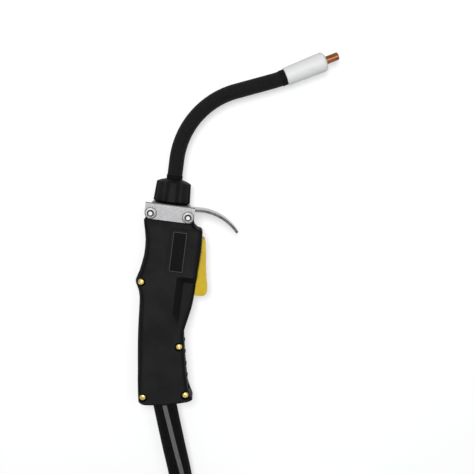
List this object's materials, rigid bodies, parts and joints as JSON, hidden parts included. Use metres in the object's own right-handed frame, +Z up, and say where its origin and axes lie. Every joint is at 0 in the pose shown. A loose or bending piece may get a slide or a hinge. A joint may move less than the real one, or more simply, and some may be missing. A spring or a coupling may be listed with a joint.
{
  "type": "mig welding torch",
  "caption": "Hand-held wire welding torch with bent neck, sheet metal hand shield, trigger handle and power cable coiled behind it.",
  "frame": {"origin": "centre of the gun's bounding box in plan, on the surface it lies on, cable left out", "axes": "+Y along the handle towards the neck, +X the side that the trigger and the nozzle point to, +Z up as the torch lies on its side"},
  "size_m": [0.3036, 0.7729, 0.0891],
  "materials": {
    "copper": "satin copper",
    "brass": "satin",
    "insulator": "matte, off-white",
    "black_rubber": "matte",
    "jacket": "varnished braided sleeve",
    "steel": "zinc plated",
    "dark_steel": "blackened",
    "sheet_metal": "zinc plated sheet",
    "handle_plastic": "fine grained",
    "black_plastic": "semi-matte",
    "grey_plastic": "matte",
    "label": "bare label, matte",
    "yellow_plastic": "satin",
    "red_plastic": "satin",
    "wire": "insulated lead",
    "cable": "rubber jacket",
    "tie": "strap"
  },
  "bodies": {
    "torch": {"handle_front": "handle_plastic", "handle_back": "handle_plastic", "label_plate": "label", "handle_screws": "brass", "handle_nuts": "brass", "shield_bracket": "sheet_metal", "hand_shield": "sheet_metal", "bracket_screws": "steel", "bracket_washers": "steel", "bracket_nuts": "steel", "neck_socket": "brass", "trigger_pin": "steel", "trigger_spring": "steel", "switch_body": "black_plastic", "switch_terminals": "brass", "switch_pins": "steel", "switch_leads": "wire", "power_block": "brass", "block_screws": "dark_steel", "cable_ferrule": "copper", "cable_core": "copper", "cable_end": "cable", "cable_clamp": "steel", "cable_lead": "cable", "cable_coil": "cable", "cable_tail": "cable", "coil_ties": "tie", "plug_boot": "black_rubber", "plug_housing_top": "black_plastic", "plug_housing_base": "black_plastic", "plug_screws": "steel", "plug_conductor": "copper", "plug_core": "brass", "plug_carrier": "grey_plastic", "plug_pin": "brass"},
    "neck": {"neck_jacket": "jacket", "neck_tube": "copper", "neck_liner": "steel", "neck_collar": "black_rubber", "neck_end_ring": "black_rubber", "tip_holder": "brass"},
    "insulator": {"nozzle_insulator": "insulator"},
    "tip": {"contact_tip": "copper"},
    "neck_nut_body": {"neck_nut": "black_plastic"},
    "trigger_body": {"trigger": "yellow_plastic"},
    "plunger": {"switch_plunger": "red_plastic"},
    "plug_nut": {"coupling_nut": "black_plastic"},
    "plug_contacts": {"control_pins": "brass"}
  },
  "joints": [
    {"name": "neck_turn", "type": "hinge", "parent": "torch", "child": "neck", "pos_m": [-0.0597, 0.0194, 0.0234], "axis": [0, 1, 0], "continuous": true},
    {"name": "neck_nut_turn", "type": "hinge", "parent": "torch", "child": "neck_nut_body", "pos_m": [-0.0597, 0.0294, 0.0234], "axis": [0, 1, 0], "continuous": true},
    {"name": "insulator_pull", "type": "slide", "parent": "neck", "child": "insulator", "axis": [0.8729, 0.4879, 0], "range_m": [0, 0.046]},
    {"name": "tip_turn", "type": "hinge", "parent": "neck", "child": "tip", "pos_m": [0.07885, 0.1789, 0.0234], "axis": [0.8729, 0.4879, 0], "continuous": true},
    {"name": "trigger_pull", "type": "hinge", "parent": "torch", "child": "trigger_body", "pos_m": [-0.0302, -0.0166, 0.0234], "axis": [0, 0, -1], "range_deg": [0, 6], "stiffness_Nm_per_rad": 0.7, "springref_deg": -5.73, "deforming": ["trigger_spring"]},
    {"name": "plunger_slide", "type": "slide", "parent": "torch", "child": "plunger", "axis": [-1, 0, 0], "range_m": [0, 0.00293]},
    {"name": "coupling_turn", "type": "hinge", "parent": "torch", "child": "plug_nut", "pos_m": [0.0503, -0.3331, 0.0671], "axis": [1, 0, 0], "continuous": true},
    {"name": "contacts_press", "type": "slide", "parent": "torch", "child": "plug_contacts", "axis": [-1, 0, 0], "range_m": [0, 0.002], "stiffness_N_per_m": 500, "springref_m": -0.0005}
  ],
  "couplings": [
    {"joint": "plunger_slide", "follows": "trigger_pull", "m_per_rad": 0.028}
  ]
}
